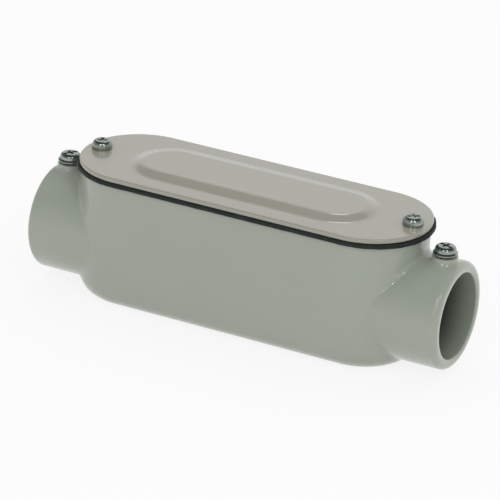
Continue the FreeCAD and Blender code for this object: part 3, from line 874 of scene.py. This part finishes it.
def lay_floor(stage):
    """A floor that sweeps up into a backdrop: flat, then a quarter round, then upright."""
    half, radius, top = 3.0, 1.0, 2.5       # metres
    turn = quarter_turn(SWEEP_ROWS - 1)
    y = np.concatenate([[-half], half - radius + radius * np.sin(turn), [half]])
    z = np.concatenate([[0], radius * (1 - np.cos(turn)), [top]]) - stage.floor_gap
    x = np.array([-half, half])
    points = np.stack(np.broadcast_arrays(x[None, :], y[:, None], z[:, None]), axis=-1)
    rows = len(y)
    faces = [[2 * i, 2 * i + 1, 2 * i + 3, 2 * i + 2] for i in range(rows - 1)]
    floor = add_mesh("studio_floor", points, faces)
    material = blank_material("matt_studio_floor")
    tree = material.node_tree
    rays = add_node(tree, "ShaderNodeLightPath")
    seen = add_node(tree, "ShaderNodeMath", {
        0: rays.outputs["Is Camera Ray"], 1: rays.outputs["Is Glossy Ray"]},
        operation="MAXIMUM")
    share = add_node(tree, "ShaderNodeMapRange", {
        "Value": seen.outputs[0], "To Min": stage.floor_felt, "To Max": stage.floor_seen})
    matt = add_node(tree, "ShaderNodeBsdfDiffuse", {"Color": stage.floor})
    glow = add_node(tree, "ShaderNodeEmission", {"Color": (1, 1, 1, 1), "Strength": 1.0})
    mixed = add_node(tree, "ShaderNodeMixShader", {
        0: share.outputs[0], 1: matt.outputs[0], 2: glow.outputs[0]})
    add_node(tree, "ShaderNodeOutputMaterial", {"Surface": mixed.outputs[0]})
    floor.data.materials.append(material)


def light_sky(stage):
    """A studio that is white to the camera, even as a light, and graded in a mirror.

    In a mirror it is pale round the horizon and dark overhead.
    """
    world = bpy.data.worlds.new("studio_sky")
    world.use_nodes = True
    tree = world.node_tree
    tree.nodes.clear()
    rays = add_node(tree, "ShaderNodeLightPath")
    place = add_node(tree, "ShaderNodeTexCoord").outputs["Generated"]
    heading = add_node(tree, "ShaderNodeSeparateXYZ", {"Vector": place})
    wall_height, roof_height = MIRROR_HEIGHTS
    mirrored = add_node(tree, "ShaderNodeMapRange", {
        "Value": heading.outputs["Z"], "From Min": wall_height, "From Max": roof_height,
        "To Min": stage.mirror_wall, "To Max": stage.mirror_roof},
        interpolation_type="SMOOTHSTEP")
    dulled = add_node(tree, "ShaderNodeMix", {
        0: rays.outputs["Is Glossy Ray"], 2: stage.sky_light, 3: mirrored.outputs[0]})
    strength = add_node(tree, "ShaderNodeMath", {
        0: dulled.outputs[0], 1: rays.outputs["Is Camera Ray"]}, operation="MAXIMUM")
    sky = add_node(tree, "ShaderNodeBackground", {
        "Color": (1, 1, 1, 1), "Strength": strength.outputs[0]})
    add_node(tree, "ShaderNodeOutputWorld", {"Surface": sky.outputs[0]})
    bpy.context.scene.world = world


def hang_lamps():
    """A broad panel above and behind, a small window behind, and two slits in front.

    The panel lights the top without a mirror image of its own on the cover.
    """
    overhead = add_lamp("overhead_panel", 90, 66, 1.3, (1.2, 0.8), 3.0)
    overhead.visible_glossy = False
    add_lamp("rear_window", 112, 41, 1.5, (0.14, 0.14), 0.35)
    add_lamp("left_window", -86, 35, 1.4, (0.04, 0.8), 2.4)
    add_lamp("right_window", -43, 37, 1.4, (0.04, 0.8), 2.4)


def add_lamp(name, azimuth, elevation, distance, size, watts):
    """A rectangular lamp at angles in degrees round the fitting, facing its middle."""
    data = bpy.data.lights.new(name, "AREA")
    data.shape = "RECTANGLE"
    data.size, data.size_y = size
    data.energy = watts
    lamp = bpy.data.objects.new(name, data)
    bpy.context.scene.collection.objects.link(lamp)
    turn, rise = math.radians(azimuth), math.radians(elevation)
    outward = Vector((math.cos(turn) * math.cos(rise), math.sin(turn) * math.cos(rise),
                      math.sin(rise)))
    lamp.location = Vector((0, 0, CASTING_BOX[1].z / 2)) + outward * distance
    lamp.rotation_euler = (-outward).to_track_quat("-Z", "Y").to_euler()
    return lamp


# ------------------------------------------------------------------------ the add-on

class CONDUIT_PT_body(bpy.types.Panel):
    """Lists the steps that dress the conduit body"""
    bl_idname = "CONDUIT_PT_body"
    bl_label = "Conduit Body"
    bl_space_type = "VIEW_3D"
    bl_region_type = "UI"
    bl_category = "Conduit Body"

    def draw(self, context):
        for step in STEPS:
            self.layout.operator(step.bl_idname)


GROUPS = {
    "conduit_casting": CastingFinish,
    "conduit_gasket": GasketShape,
    "conduit_cover": CoverShape,
    "conduit_screws": ScrewShape,
    "conduit_stage": StageSettings,
}
STEPS = (CONDUIT_OT_stage, CONDUIT_OT_casting, CONDUIT_OT_gasket, CONDUIT_OT_cover,
         CONDUIT_OT_cover_screws, CONDUIT_OT_set_screws)


def register():
    """Register the settings, the steps and the panel."""
    for group in GROUPS.values():
        bpy.utils.register_class(group)
    for name, group in GROUPS.items():
        setattr(bpy.types.Scene, name, bpy.props.PointerProperty(type=group))
    for step in STEPS:
        bpy.utils.register_class(step)
    bpy.utils.register_class(CONDUIT_PT_body)


def unregister():
    """Take everything back in the opposite order."""
    bpy.utils.unregister_class(CONDUIT_PT_body)
    for step in reversed(STEPS):
        bpy.utils.unregister_class(step)
    for name, group in reversed(GROUPS.items()):
        delattr(bpy.types.Scene, name)
        bpy.utils.unregister_class(group)


def main():
    """Register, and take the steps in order."""
    register()
    for step in STEPS:
        area, verb = step.bl_idname.split(".")
        getattr(getattr(bpy.ops, area), verb)()


if __name__ == "__main__":
    main()
